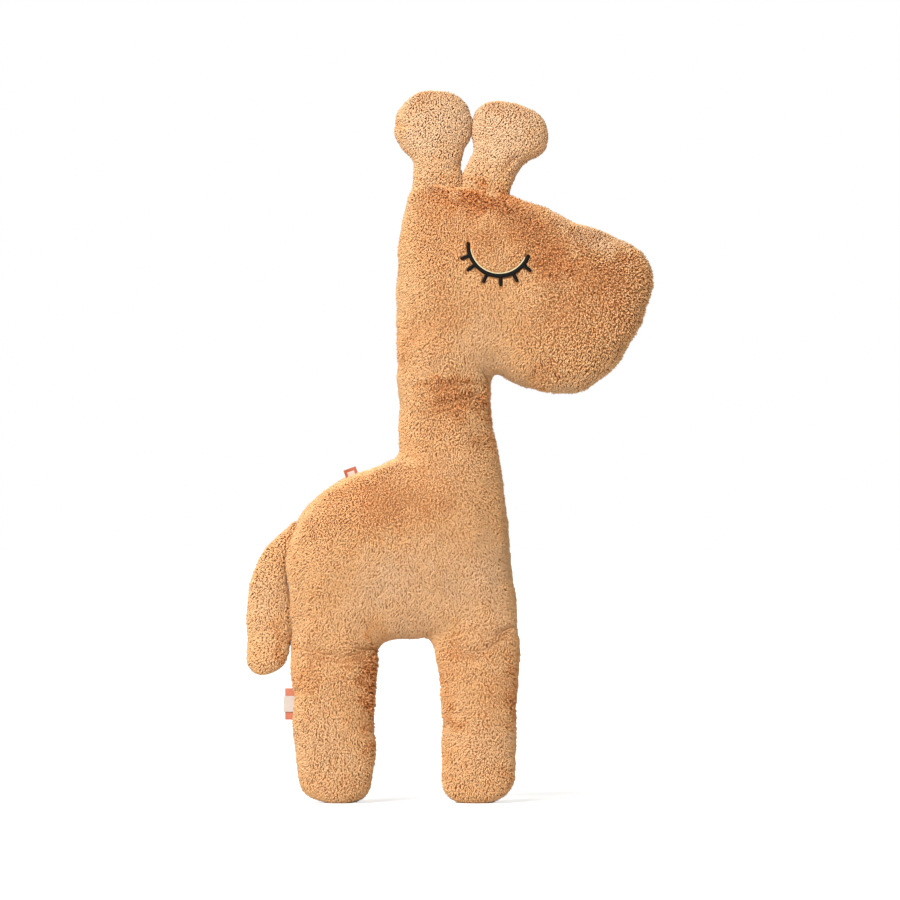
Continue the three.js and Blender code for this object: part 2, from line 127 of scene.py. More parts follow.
def relaxed(mesh, rounds):
    """Each point goes halfway to its neighbours' mean, so many times, which takes the facets off."""
    ends = values_of(mesh.edges, "vertices", 2, np.int32)
    one, other = ends.T
    points = points_of(mesh)
    size = len(points)
    count = np.bincount(ends.ravel(), minlength=size)[:, None]
    for _ in range(rounds):
        total = np.stack([
            np.bincount(one, points[other, k], size) + np.bincount(other, points[one, k], size)
            for k in range(3)
        ], 1)
        points = (points + total / count) / 2
    set_points(mesh, points)


def stuffed_skin(name, stretches, voxel, swell, inset, divided):
    """One closed skin round the soft solids of these stretches. It is set in, so that the tips of its
    pile reach the solids' surface, and swollen sideways by cloth simulation under pressure, with no point
    moved further than swell. The seam holds the outline, so that gives only a share. At the end its faces
    are divided, so often."""
    solids = [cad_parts[n].data for stretch in stretches for n in soft_solids(stretch)]
    points = [points_of(solid) for solid in solids]
    starts = np.cumsum([0] + [len(p) for p in points[:-1]])
    triangles = np.concatenate([triangles_of(solid) + start for solid, start in zip(solids, starts)])
    piece = shown(name, mesh_from(name, np.concatenate(points), triangles))
    remesh = piece.modifiers.new("One skin", "REMESH")
    remesh.mode = "VOXEL"
    remesh.voxel_size = voxel
    skin = finished_mesh(piece)
    piece.modifiers.clear()
    piece.data = skin
    relaxed(skin, RELAX_ROUNDS)
    set_points(skin, points_of(skin) - normals_of(skin) * np.array((inset, inset + swell / 2, inset)))
    relaxed(skin, 2)
    before = points_of(skin)
    cloth = piece.modifiers.new("Stuffing", "CLOTH")
    cloth.settings.use_pressure = True
    cloth.settings.uniform_pressure_force = CLOTH_PRESSURE
    cloth.settings.effector_weights.gravity = 0
    cloth.settings.shrink_min = CLOTH_SHRINK
    cloth.settings.tension_stiffness = CLOTH_TENSION
    cloth.settings.bending_stiffness = CLOTH_BENDING
    cloth.point_cache.frame_end = CLOTH_FRAMES
    for step in range(1, CLOTH_FRAMES + 1):
        bpy.context.scene.frame_set(step)
    moved = points_of(finished_mesh(piece)) - before
    bpy.context.scene.frame_set(1)
    piece.modifiers.clear()
    moved *= np.array((OUTLINE_GIVES, 1, OUTLINE_GIVES))
    far = np.linalg.norm(moved, axis=1, keepdims=True)
    set_points(skin, before + moved * np.minimum(1, swell / np.maximum(far, 1e-9)))
    relaxed(skin, 1)
    finer = piece.modifiers.new("Finer", "SUBSURF")
    finer.levels = finer.render_levels = divided
    fine = finished_mesh(piece)
    piece.modifiers.clear()
    piece.data = fine
    fine.polygons.foreach_set("use_smooth", np.ones(len(fine.polygons), bool))
    return piece


body = stuffed_skin("body_skin", STRETCHES, BODY_VOXEL, BODY_SWELL, PILE_HEIGHT - BODY_ROUNDING, divided=1)

# The folds that the stuffing leaves where the cushion narrows: at the throat and where the legs begin.
# Each is a valley in the skin with a low roll beside it, pressed in on both panels along a line. A fold
# is given in millimetres: its line in side view, its depth and its width.
FOLDS = (
    (((-35, 436), (-15, 441), (8, 443), (31, 440)), 3.6, 2.8),
    (((-21, 415), (-8, 420), (6, 425), (28, 430)), 6.0, 2.8),
    (((-18, 407), (-6, 411), (8, 417)), 3.0, 2.4),
    (((-157, 163), (-126, 157), (-108, 156), (-88, 160), (-76, 163)), 5.0, 3.8),
    (((-109, 166), (-95, 164), (-79, 163)), 4.0, 3.4),
    (((-117, 148), (-104, 149), (-88, 153), (-76, 159)), 3.4, 3.4),
    (((41, 174), (53, 181), (62, 185)), 5.0, 3.6),
    (((-4, 161), (13, 161), (33, 161), (42, 165), (53, 171)), 4.2, 3.6),
    (((0, 174), (15, 180)), 2.6, 3.4),
    (((33, 454), (36, 447), (37, 440)), 3.5, 3.4),
)
VALLEY_SHARE = 1.5
ROLL_SHARE = 0.5
ROLL_WIDER = 2.4
FADES_AT = 0.12


def beside_fold(points, line):
    """How far points are from a fold in side view, and how far along it they are, from 0 to 1."""
    side = points[:, (0, 2)]
    corners = np.array(line) * MM
    best = np.full(len(points), np.inf)
    along = np.zeros(len(points))
    for k, (start, end) in enumerate(zip(corners[:-1], corners[1:])):
        leg = end - start
        share = np.clip((side - start) @ leg / (leg @ leg), 0, 1)
        far = np.linalg.norm(side - start - share[:, None] * leg, axis=1)
        along = np.where(far < best, (k + share) / (len(corners) - 1), along)
        best = np.minimum(best, far)
    return best, along


def faded(along):
    """A fold's strength along it: half a sine wave, cut off a little at both ends."""
    return np.sin(np.pi * (FADES_AT + (1 - 2 * FADES_AT) * along))


def folded(points, normals, line, depth, width):
    """Moves points in along their normals by depth times a bell curve of their distance from the fold,
    less a wider and lower bell for the rolls beside it, and fading out towards its two ends and the
    seam."""
    best, along = beside_fold(points, line)
    valley = np.exp(-(best / (width * MM)) ** 2)
    roll = np.exp(-(best / (ROLL_WIDER * width * MM)) ** 2)
    facing = np.abs(normals[:, 1]) ** 0.5
    deep = depth * MM * facing * faded(along) * (VALLEY_SHARE * valley - ROLL_SHARE * roll)
    return points - normals * deep[:, None]


# What makes a stuffed skin uneven: it ripples over the clumps of filling, its outline is drawn in or let
# out where the thread pulls or the filling pushes, and the seam lies in a valley. Ripples are given by
# length and height, drawn places by middle, half size and shift in side view, all in millimetres.
LUMPS = ((50, 0.8), (19, 0.18))
LUMP_SEED = 40
DRAWN_PLACES = (
    ((-59, 603), (14, 22), (4.0, 0)),
    ((-59, 562), (14, 22), (4.6, 0)),
    ((-59, 515), (14, 24), (4.0, 0)),
    ((-58, 489), (14, 12), (1.8, 0)),
    ((-58, 474), (12, 10), (-1.5, 0)),
    ((-54, 402), (12, 16), (-1.5, 0)),
    ((140, 596), (30, 14), (0, 1.5)),
    ((-56, 464), (12, 12), (-4.0, 0)),
    ((-52, 430), (12, 14), (1.5, 0)),
    ((-24, 641), (26, 13), (0, 7.0)),
    ((-58, 636), (14, 16), (3, 0)),
    ((56, 290), (12, 80), (1.5, 0)),
    ((-168, 255), (14, 36), (-3.5, 0)),
    ((-160, 192), (12, 14), (-4, 0)),
    ((-66, 168), (14, 10), (0, -3)),
    ((-20, 172), (16, 10), (0, 3)),
    ((-78, 60), (10, 50), (3, 0)),
    ((72, 90), (8, 80), (1.2, 0)),
    ((-85, 340), (30, 10), (0, -1.5)),
    ((48, 446), (14, 10), (0, 2.5)),
)
SEAM_DEPTH = 1.4 * MM
SEAM_WIDTH = 2.2 * MM


def ripples(points, length, seed, count=14):
    """A smooth random value at each point: sine waves of about this length in random directions, mostly
    across the side view, added up."""
    draw = np.random.default_rng(seed)
    way = draw.normal(size=(3, count)) * np.array((1, 0.4, 1))[:, None]
    way *= 2 * math.pi / (length * draw.uniform(0.7, 1.4, count)) / np.linalg.norm(way, axis=0)
    return np.sin(points @ way + draw.uniform(0, 2 * math.pi, count)).sum(1) / math.sqrt(count / 2)


def several_ripples(points, waves, seed):
    """Ripples of several lengths added up, each given by its length in millimetres and its height."""
    return sum(ripples(points, length * MM, seed + k) * height for k, (length, height) in enumerate(waves))


def drawn(points, middle, size, shift):
    """Moves points in side view by a shift times a bell round a place."""
    off = (points[:, (0, 2)] - np.array(middle) * MM) / (np.array(size) * MM)
    bell = np.exp(-(off ** 2).sum(1))
    return points + bell[:, None] * np.array((shift[0], 0, shift[1])) * MM


def seamed(points, normals):
    """Moves points in by a bell curve of their distance from the middle plane, where the panels meet."""
    valley = np.exp(-(points[:, 1] / SEAM_WIDTH) ** 2) * (1 - normals[:, 1] ** 2)
    return points - normals * (SEAM_DEPTH * valley)[:, None]


def uneven(mesh, folds, drawn_places):
    """A skin's points with its folds, drawn places, clumps and seam."""
    points, normals = points_of(mesh), normals_of(mesh)
    for line, depth, width in folds:
        points = folded(points, normals, line, depth, width)
    for middle, size, shift in drawn_places:
        points = drawn(points, middle, size, shift)
    points = points + normals * (several_ripples(points, LUMPS, LUMP_SEED) * MM)[:, None]
    return seamed(points, normals)


set_points(body.data, uneven(body.data, FOLDS, DRAWN_PLACES))

# The body's five stretches: the skin is cut on planes where the toy bends, and each cut is closed by a
# cone turned inwards. The cut edges stay together in every pose, as each bend begins and ends off them.
HIP_LINE = (0, 0, 172 * MM)
LEG_BEND_END = (0, 0, 85 * MM)
BETWEEN_LEGS = (-44 * MM, 0, 0)
NECK_BEND = ((-40 * MM, 0, 300 * MM), (0, 0, 377 * MM))
HEAD_BEND = ((-16 * MM, 0, 449.4 * MM), (15.4 * MM, 0, 500.6 * MM))
CONE_DEPTH = 12 * MM
UP, DOWN, FORWARD, BACKWARD = (0, 0, 1), (0, 0, -1), (1, 0, 0), (-1, 0, 0)
NECK_WAY, HEAD_WAY = ((Vector(end) - Vector(start)).normalized() for start, end in (NECK_BEND, HEAD_BEND))
CUTS = {
    "torso": ((HIP_LINE, DOWN), (NECK_BEND[0], NECK_WAY)),
    "neck": ((NECK_BEND[0], -NECK_WAY), (HEAD_BEND[0], HEAD_WAY)),
    "head": ((HEAD_BEND[0], -HEAD_WAY),),
    "front_leg": ((HIP_LINE, UP), (BETWEEN_LEGS, BACKWARD)),
    "rear_leg": ((HIP_LINE, UP), (BETWEEN_LEGS, FORWARD)),
}
BENDS = {
    "torso": None,
    "neck": ("torso", *NECK_BEND),
    "head": ("neck", *HEAD_BEND),
    "front_leg": ("torso", HIP_LINE, LEG_BEND_END),
    "rear_leg": ("torso", HIP_LINE, LEG_BEND_END),
    "tail": ("torso", (-166 * MM, 0, 296 * MM), (-180 * MM, 0, 252 * MM)),
    "rear_ossicone": ("head", (0, 0, 638 * MM), (0, 0, 668 * MM)),
    "front_ossicone": ("head", (0, 0, 636 * MM), (0, 0, 666 * MM)),
}


def carried(piece, stretch):
    """Puts a piece of the torso on the torso's body; a piece of any other stretch only has its place baked
    into its points.
    """
    if BENDS[stretch] is None:
        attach(piece, stretch)
    else:
        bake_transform(piece)


def parted(name, cuts):
    """A copy of the body's skin without what lies past these planes, each a point and a direction."""
    work = bmesh.new()
    work.from_mesh(body.data)
    for at, way in cuts:
        every = work.verts[:] + work.edges[:] + work.faces[:]
        bmesh.ops.bisect_plane(work, geom=every, plane_co=at, plane_no=way, clear_outer=True)
        rims = [edge for edge in work.edges if edge.is_boundary]
        for edge in rims:
            edge.smooth = False
        lids = bmesh.ops.holes_fill(work, edges=rims, sides=0)["faces"]
        for tip in bmesh.ops.poke(work, faces=lids)["verts"]:
            tip.co -= Vector(way) * CONE_DEPTH
    mesh = bpy.data.meshes.new(name)
    work.to_mesh(mesh)
    work.free()
    return mesh


skins = {}
for stretch in STRETCHES:
    skins[stretch] = shown(f"{stretch}_skin", parted(f"{stretch}_skin", CUTS[stretch]))

# The tail and the two ossicones: small cushions of the same plush, each with its own two panels. The tail
# is sewn into the rump's seam and hangs beside it, and the ossicones stand on the crown, sewn on round
# their feet. Folds and drawn places are given as the body's are.
SMALL_VOXEL = 3.0 * MM
SMALL_SWELL = 2.0 * MM
SMALL_PILE_HEIGHT = 4.2 * MM
SMALL_ROUNDING = 2.4 * MM
SMALL_FOLDS = {
    "tail": (),
    "rear_ossicone": (
        (((-60, 714), (-48, 711), (-38, 710)), 1.5, 3.4),
        (((-28, 652), (-12, 657), (4, 657)), 1.6, 3.0),
    ),
    "front_ossicone": (
        (((56, 664), (62, 673), (70, 680)), 2.6, 3.4),
        (((14, 657), (30, 655), (54, 650)), 1.4, 3.0),
    ),
}
SMALL_DRAWN_PLACES = {
    "tail": (
        ((-170, 250), (12, 34), (-3, 0)),
        ((-168, 190), (12, 22), (3, 0)),
        ((-198, 262), (14, 26), (-4, 0)),
    ),
    "rear_ossicone": (
        ((22, 702), (12, 24), (2, 0)),
        ((-60, 714), (12, 22), (3, 0)),
        ((-42, 676), (12, 12), (3, 0)),
        ((-20, 736), (60, 36), (0, -1.8)),
        ((-50, 738), (16, 12), (1.5, -5)),
        ((4, 656), (12, 10), (4, 0)),
    ),
    "front_ossicone": (
        ((16, 686), (12, 14), (4.5, 0)),
        ((14, 656), (12, 10), (-4.5, 0)),
        ((52, 728), (60, 30), (0, -3.6)),
        ((84, 668), (20, 14), (-2, 2.6)),
        ((66, 648), (10, 14), (-3.5, 0)),
    ),
}

# A sewn end is drawn towards its seam: in millimetres, the heights between which this sets in, and how
# far it goes along x, y and z.
SEWN_ENDS = {
    "tail": ((248, 292), (9, 0, 1)),
    "rear_ossicone": ((676, 646), (0, 0, -12)),
    "front_ossicone": ((676, 643), (0, 0, -13)),
}


def sewn_on(points, heights, reach):
    """Moves a cushion's sewn end by reach, rising smoothly from nothing between two heights."""
    from_height, to_height = np.array(heights) * MM
    share = np.clip((points[:, 2] - from_height) / (to_height - from_height), 0, 1)
    return points + np.array(reach) * MM * (share ** 2 * (3 - 2 * share))[:, None]


for stretch, (heights, reach) in SEWN_ENDS.items():
    inset = SMALL_PILE_HEIGHT - SMALL_ROUNDING
    skins[stretch] = stuffed_skin(f"{stretch}_skin", (stretch,), SMALL_VOXEL, SMALL_SWELL, inset, divided=0)
    cushion = skins[stretch].data
    points = uneven(cushion, SMALL_FOLDS[stretch], SMALL_DRAWN_PLACES[stretch])
    set_points(cushion, sewn_on(points, heights, reach))

# The knitted backing of the plush: polyester jersey, dyed with the pile. It shows only as specks between
# the locks, where it has to be as warm as they are so that the gaps don't look like holes.
KNIT_PITCH = 1.2 * MM
MAP_MARGIN = 0.01


def linear(colour):
    """An sRGB hex colour as linear values with an alpha of one."""
    parts = [int(colour[i:i + 2], 16) / 255 for i in (1, 3, 5)]
    return [c / 12.92 if c <= 0.04045 else ((c + 0.055) / 1.055) ** 2.4 for c in parts] + [1]


def darker(colour, share):
    """An sRGB hex colour as linear values, dimmed to a share of its light."""
    return [c * share for c in linear(colour)[:3]] + [1]


def node(owner, kind, settings=None, **links):
    """Adds a node to a material or world with its settings, and links its named inputs. A setting whose
    name is an input's sets that input."""
    made = owner.node_tree.nodes.new(kind)
    for name, value in (settings or {}).items():
        if name in made.inputs:
            made.inputs[name].default_value = value
        else:
            setattr(made, name, value)
    for name, source in links.items():
        owner.node_tree.links.new(source, made.inputs[name.replace("_", " ")])
    return made


def laid_out(mesh, places):
    """Gives a mesh its own flat map, with one place for each corner of its faces."""
    mesh.uv_layers.new(name="OFBake").data.foreach_set("uv", places.astype(np.float32).ravel())


def corners_of(mesh):
    """The point number of each corner of a mesh's faces."""
    return values_of(mesh.loops, "vertex_index", 1, np.int32)[:, 0]


def seen_from_the_side(mesh):
    """A flat map of a mesh in side view, its near side in the left half and its far side in the right."""
    points = points_of(mesh)
    low, high = points.min(0), points.max(0)
    share = (points - low) / (high - low)
    across = np.where(points[:, 1] < 0, 0, 0.5) + MAP_MARGIN + (0.5 - 2 * MAP_MARGIN) * share[:, 0]
    up = MAP_MARGIN + (1 - 2 * MAP_MARGIN) * share[:, 2]
    laid_out(mesh, np.stack([across, up], 1)[corners_of(mesh)])


backing = bpy.data.materials.new("Polyester jersey backing, dyed")
backing.use_nodes = True
surface = backing.node_tree.nodes["Principled BSDF"]
place = node(backing, "ShaderNodeTexCoord")
loops = node(backing, "ShaderNodeTexVoronoi", {"Scale": 1 / KNIT_PITCH}, Vector=place.outputs["Object"])
shade = node(backing, "ShaderNodeValToRGB", Fac=loops.outputs["Distance"])
shade.color_ramp.elements[0].color = linear("#D89C64")
shade.color_ramp.elements[1].color = linear("#C08048")
bump = {"Strength": 0.5, "Distance": KNIT_PITCH / 4}
relief = node(backing, "ShaderNodeBump", bump, Height=loops.outputs["Distance"])
backing.node_tree.links.new(shade.outputs["Color"], surface.inputs["Base Color"])
backing.node_tree.links.new(relief.outputs["Normal"], surface.inputs["Normal"])
surface.inputs["Roughness"].default_value = 0.9
for skin in skins.values():
    skin.data.materials.clear()
    skin.data.materials.append(backing)
    seen_from_the_side(skin.data)

# The closed eyes: a lid and six lashes in black satin stitch with a cream line inside the lid, on both
# sides. The thread pulls the skin and the pile down, so that it lies level with the tips round it. A
# raised bar of close stitches runs along each line.
EYE_MIDDLE = np.array((52.0, 585.0)) * MM
LID_RADIUS = 32.5 * MM
LID_ANGLES = (174, 342)
LASH_ANGLES = (200, 219, 247, 272, 296, 320)
LASH_LENGTH = 11.0 * MM
THREAD_HALF_WIDTH = 2.0 * MM
LASH_HALF_WIDTHS = (2.0 * MM, 1.6 * MM)
EDGING_RADIUS = LID_RADIUS - 2.7 * MM
EDGING_ANGLES = (188, 334)
EDGING_HALF_WIDTH = 0.62 * MM
STITCH_RISE = 1.3 * MM
STITCH_SINK = 4.0 * MM
STITCH_PITCH = 1.0 * MM
STITCH_GROOVE = 0.2
STITCH_SLANT = 0.25
STITCH_SIDES = 14


def arc_line(radius, angles, step):
    """Points on an arc about the eye's middle, in side view, one step apart."""
    first, last = np.radians(angles)
    turn = np.linspace(first, last, int(abs(last - first) * radius / step) + 1)
    return EYE_MIDDLE + radius * np.stack([np.cos(turn), np.sin(turn)], 1)


def lash_line(degrees, step):
    """Points on a lash, in side view, from the lid's middle outwards."""
    way = np.array((math.cos(math.radians(degrees)), math.sin(math.radians(degrees))))
    far = np.linspace(0, LASH_LENGTH, int(LASH_LENGTH / step) + 1)
    return EYE_MIDDLE + way * (LID_RADIUS + far)[:, None]


def cheek(node_name):
    """The head's surface under an eye, as a quadratic in x and z, fitted to the eye's own solid."""
    solid = points_of(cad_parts[node_name].data)

    def terms(x, z):
        return np.stack([np.ones_like(x), x, z, x * x, x * z, z * z], 1)

    fit = np.linalg.lstsq(terms(solid[:, 0], solid[:, 2]), solid[:, 1], rcond=None)[0]
    return lambda x, z: terms(x, z) @ fit


def stitched(line, widths, surface, side):
    """A bar of satin stitch along a line, as points and triangles: its section is a low dome over a deep
    keel, its ends are round, and its dome swells a little over each thread."""
    step = np.linalg.norm(line[1] - line[0])
    run = np.arange(len(line)) * step
    ahead = np.gradient(line, axis=0)
    ahead /= np.linalg.norm(ahead, axis=1, keepdims=True)
    across = np.stack([-ahead[:, 1], ahead[:, 0]], 1)
    half = np.linspace(*widths, len(line))
    to_end = np.minimum(run, run[-1] - run)
    half = half * np.sqrt(np.clip(1 - (1 - np.clip(to_end / half, 0, 1)) ** 2, 0.01, 1))
    turn = 2 * math.pi * np.arange(STITCH_SIDES) / STITCH_SIDES
    out = half[:, None] * np.cos(turn)
    thread = np.abs(np.sin(math.pi * (run[:, None] / STITCH_PITCH + STITCH_SLANT * np.cos(turn))))
    dome = STITCH_RISE * (1 - STITCH_GROOVE + STITCH_GROOVE * thread)
    rise = np.where(np.sin(turn) > 0, dome, STITCH_SINK) * np.sin(turn)
    rise = rise * np.minimum(1, half[:, None] / (0.5 * max(widths)))
    flat = line[:, None] + across[:, None] * out[:, :, None]
    x, z = flat[..., 0].ravel(), flat[..., 1].ravel()
    y = surface(x, z) + side * rise.ravel()
    points = np.stack([x, y, z], 1)
    row = np.arange(len(line) - 1)[:, None] * STITCH_SIDES
    k = np.arange(STITCH_SIDES)
    after = (k + 1) % STITCH_SIDES
    a, b = row + k, row + after
    walls = np.concatenate([
        np.stack([a, b, b + STITCH_SIDES], -1).reshape(-1, 3),
        np.stack([a, b + STITCH_SIDES, a + STITCH_SIDES], -1).reshape(-1, 3),
    ])
    last = (len(line) - 1) * STITCH_SIDES
    fan = np.stack([np.zeros(STITCH_SIDES - 2, int), k[1:-1], k[2:]], 1)
    triangles = np.concatenate([walls, fan[:, ::-1], fan + last])
    return points, triangles[:, ::-1] if side > 0 else triangles


def joined(parts):
    """Several meshes' points and triangles as one."""
    starts = np.cumsum([0] + [len(points) for points, _ in parts[:-1]])
    triangles = [triangles + start for (_, triangles), start in zip(parts, starts)]
    return np.concatenate([points for points, _ in parts]), np.concatenate(triangles)


def outwards(mesh):
    """Turns a closed mesh's faces outwards."""
    work = bmesh.new()
    work.from_mesh(mesh)
    bmesh.ops.recalc_face_normals(work, faces=work.faces[:])
    work.to_mesh(mesh)
    work.free()
    return mesh


eyes, edgings = {}, {}
fine_step = STITCH_PITCH / 5
for panel, side in (("near", -1), ("far", 1)):
    surface = cheek(f"{panel}_eye_embroidery")
    bars = [stitched(arc_line(LID_RADIUS, LID_ANGLES, fine_step), (THREAD_HALF_WIDTH,) * 2, surface, side)]
    for angle in LASH_ANGLES:
        bars.append(stitched(lash_line(angle, fine_step), LASH_HALF_WIDTHS, surface, side))
    name = f"{panel}_eye_satin_stitch"
    eyes[panel] = shown(name, outwards(mesh_from(name, *joined(bars))))
    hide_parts(f"{panel}_eye_embroidery")
    name = f"{panel}_eye_cream_line"
    line = arc_line(EDGING_RADIUS, EDGING_ANGLES, fine_step)
    bar = stitched(line, (EDGING_HALF_WIDTH,) * 2, cheek(f"{panel}_eye_edging"), side)
    edgings[panel] = shown(name, outwards(mesh_from(name, *bar)))
    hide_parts(f"{panel}_eye_edging")
    for piece in (eyes[panel], edgings[panel]):
        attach(piece, "head")

# Rayon embroidery thread: filaments laid side by side, deep black or cream, with the low gloss of a matt
# rayon. The strands' lighter and darker streaks let the eye read the stitches as thread.
THREADS = {"Black rayon thread": ("#060506", eyes, 0.6), "Cream rayon thread": ("#F4E3B4", edgings, 0.55)}
for name, (colour, pieces, roughness) in THREADS.items():
    thread = bpy.data.materials.new(name)
    thread.use_nodes = True
    surface = thread.node_tree.nodes["Principled BSDF"]
    place = node(thread, "ShaderNodeTexCoord")
    streaks = {"Scale": 1 / STITCH_PITCH, "Detail": 3.0}
    strands = node(thread, "ShaderNodeTexNoise", streaks, Vector=place.outputs["Object"])
    tints = node(thread, "ShaderNodeValToRGB", Fac=strands.outputs["Fac"])
    tints.color_ramp.elements[0].color = darker(colour, 0.6)
    tints.color_ramp.elements[1].color = linear(colour)
    bump = {"Strength": 0.3, "Distance": STITCH_PITCH / 5}
    relief = node(thread, "ShaderNodeBump", bump, Height=strands.outputs["Fac"])
    thread.node_tree.links.new(tints.outputs["Color"], surface.inputs["Base Color"])
    thread.node_tree.links.new(relief.outputs["Normal"], surface.inputs["Normal"])
    surface.inputs["Roughness"].default_value = roughness
    surface.inputs["Specular IOR Level"].default_value = 0.15
    for piece in pieces.values():
        piece.data.materials.append(thread)
        seen_from_the_side(piece.data)

# The pile: polyester fibres, dense and short, knitted into the skin and brushed down. Each bud drawn
# stands for a lock of real ones, as fine as the picture can show, and the locks lean together in tufts.
# They are coarser where brushed up and on the muzzle, and parted by the thread of the eyes.
LOCKS_PER_AREA, SMALL_LOCKS_PER_AREA = 0.73e6, 0.95e6
LOCK_RADIUS, SMALL_LOCK_RADIUS = 0.6 * MM, 0.68 * MM
LOCK_SIDES = 3
LENGTH_TO_HEIGHT = 1.3
LENGTH_LIMITS = (0.35, 1.2)
PLUMPEST = 0.7
ROOT_LEAN, TIP_LEAN = math.radians(26), math.radians(60)
RISES_BRUSHED, SINKS_LAID, LEANS_MOST = 0.3, 0.24, 1.7
TUFT_LENGTH = 2.8 * MM
SOLE_HEIGHT = 0.1 * MM

# How four traits of the locks vary: from tuft to tuft, how much more of that where the pile is coarse,
# its seed, from lock to lock, and the share of that which is lost where the pile is laid smooth.
VARIES = {
    "length": (0.03, 0.12, 21, 0.05, 0.0),
    "lean": (0.08, 0.15, 22, 0.12, 0.6),
    "twist": (0.15, 0.4, 23, 0.3, 0.5),
    "tone_and_shade": (0.02, 0.06, 24, 0.06, 0.5),
}

# The nap runs down and a little backwards, wanders, and turns outwards where the skin faces up.
NAP_BACKWARDS, NAP_WANDERS, NAP_OUTWARDS = 0.25, 0.35, 0.5
NAP_LENGTH = 60 * MM

# Some locks are short and darker, the dark a painted shade: in pits between the tufts, and in the folds, a
# little below the fold's own line, since the pile falls over it. Where the pile is coarse, single locks are
# dark at random, the specks.
PIT_LENGTH = 2.8 * MM
PIT_CONTRAST = 1.6
PITS_SMOOTH, PITS_COARSE = 0.1, 0.8
PIT_SHORTENS, PIT_PAINTED_SHADE = 0.65, 0.9
ALL_FOLDS = FOLDS + sum(SMALL_FOLDS.values(), ())
DEEPEST_FOLD = max(depth for _, depth, _ in ALL_FOLDS)
CREASE_WIDTH = 1.9 * MM
CREASE_SHORTENS, CREASE_PAINTED_SHADE = 0.6, 0.75
FALLS_BY = 1.6 * MM
SPECK_SHARE, SPECK_DARKENS = 0.22, 0.58
COARSE_LIGHTENS = 0.1

# The eyes' thread keeps this much free of pile: the cream line's width inside the lid, less at a lash,
# and a narrow edge that no lock may lean over. One that would is made shorter, so often.
CREAM_LINE_ROOM = 1.3 * MM
LASH_ROOM = 0.9 * LASH_HALF_WIDTHS[0]
EYE_CLEARANCE = 0.3 * MM
SHORTENED, SHORTENING_ROUNDS = 0.72, 3

# Where the pile is laid flat, below nothing, or brushed up: each place by its middle and half size in
# side view, in millimetres, and its strength. Their edges are ragged, and ripples run over the whole. The
# same value picks the plush's colour, so the places also paint a sheen where laid and shade where brushed
# up, among them painted shade on the right-hand edges of the legs and neck and in the throat's folds.
COARSE_FROM, COARSE_WITHIN, MUZZLE_COARSE = 88 * MM, 20 * MM, 0.75
RAGGED_LENGTH, RAGGED_BY = 22 * MM, 5 * MM
PATCHES = ((70, 0.1), (16, 0.02))
NAP_PLACES_SHEEN_AND_SHADE = (
    (14, 632, 50, 13, 0.8),
    (44, 627, 34, 10, 0.75),
    (84, 603, 26, 20, 0.6),
    (112, 572, 24, 17, 0.85),
    (140, 556, 40, 14, 0.4),
    (175, 535, 36, 22, 0.4),
    (170, 590, 48, 18, -0.8),
    (122, 610, 22, 12, -0.5),
    (30, 470, 22, 44, -0.55),
    (84, 434, 40, 12, -0.7),
    (150, 424, 34, 16, -0.35),
    (100, 452, 26, 16, 0.35),
    (-6, 442, 20, 6, 0.6),
    (8, 428, 32, 13, 0.6),
    (24, 414, 20, 9, 0.4),
    (50, 592, 24, 14, 0.25),
    (-46, 322, 36, 16, 0.28),
    (-76, 300, 28, 20, 0.34),
    (-106, 282, 30, 22, 0.2),
    (-150, 250, 16, 40, 0.15),
    (-45, 222, 85, 42, -0.7),
    (45, 235, 30, 60, -0.35),
    (-176, 165, 10, 34, 0.7),
    (-200, 215, 20, 60, -0.35),
    (-80, 118, 13, 54, 1.6),
    (-128, 60, 26, 44, -0.4),
    (-140, 134, 22, 10, 0.3),
    (5, 92, 22, 9, 0.5),
    (70, 110, 9, 70, 0.65),
    (-4, 100, 8, 60, 0.3),
    (30, 60, 22, 50, -0.35),
    (-22, 704, 42, 50, -1.0),
    (60, 702, 46, 46, -1.0),
    (-50, 712, 9, 6, 1.0),
    (0, 668, 6, 16, 0.5),
    (38, 416, 10, 34, 1.2),
)


def off_thread(points):
    """How far points are from an eye's thread in side view, below nothing where over it."""
    side_view = points[:, (0, 2)] - EYE_MIDDLE
    turn = np.degrees(np.arctan2(side_view[:, 1], side_view[:, 0])) % 360
    turn = np.radians(np.clip(turn, *LID_ANGLES))
    lid = LID_RADIUS * np.stack([np.cos(turn), np.sin(turn)], 1)
    room = THREAD_HALF_WIDTH + CREAM_LINE_ROOM * (np.linalg.norm(side_view, axis=1) < LID_RADIUS)
    found = np.linalg.norm(side_view - lid, axis=1) - room
    for angle in np.radians(LASH_ANGLES):
        way = np.array((math.cos(angle), math.sin(angle)))
        far = np.clip(side_view @ way, LID_RADIUS, LID_RADIUS + LASH_LENGTH)
        found = np.minimum(found, np.linalg.norm(side_view - far[:, None] * way, axis=1) - LASH_ROOM)
    return found


def brushed(points):
    """How far the pile stands brushed up at each point, from -1, laid flat, to 1: the sum of a bell for
    each place and of the ripples, with the places moved about a little by finer ripples. The value also
    picks the colour, a painted sheen where laid and painted shade where brushed up."""
    moved = np.stack([ripples(points, RAGGED_LENGTH, seed) for seed in (5, 6)], 1)
    ragged = points[:, (0, 2)] + RAGGED_BY * moved
    found = several_ripples(points, PATCHES, seed=7)
    for x, z, wide, high, strength in NAP_PLACES_SHEEN_AND_SHADE:
        off = (ragged - np.array((x, z)) * MM) / (np.array((wide, high)) * MM)
        found += strength * np.exp(-(off ** 2).sum(1))
    return np.clip(found, -1, 1)


def unit(vectors):
    """Vectors, each of length one."""
    return vectors / np.maximum(np.linalg.norm(vectors, axis=1, keepdims=True), 1e-12)


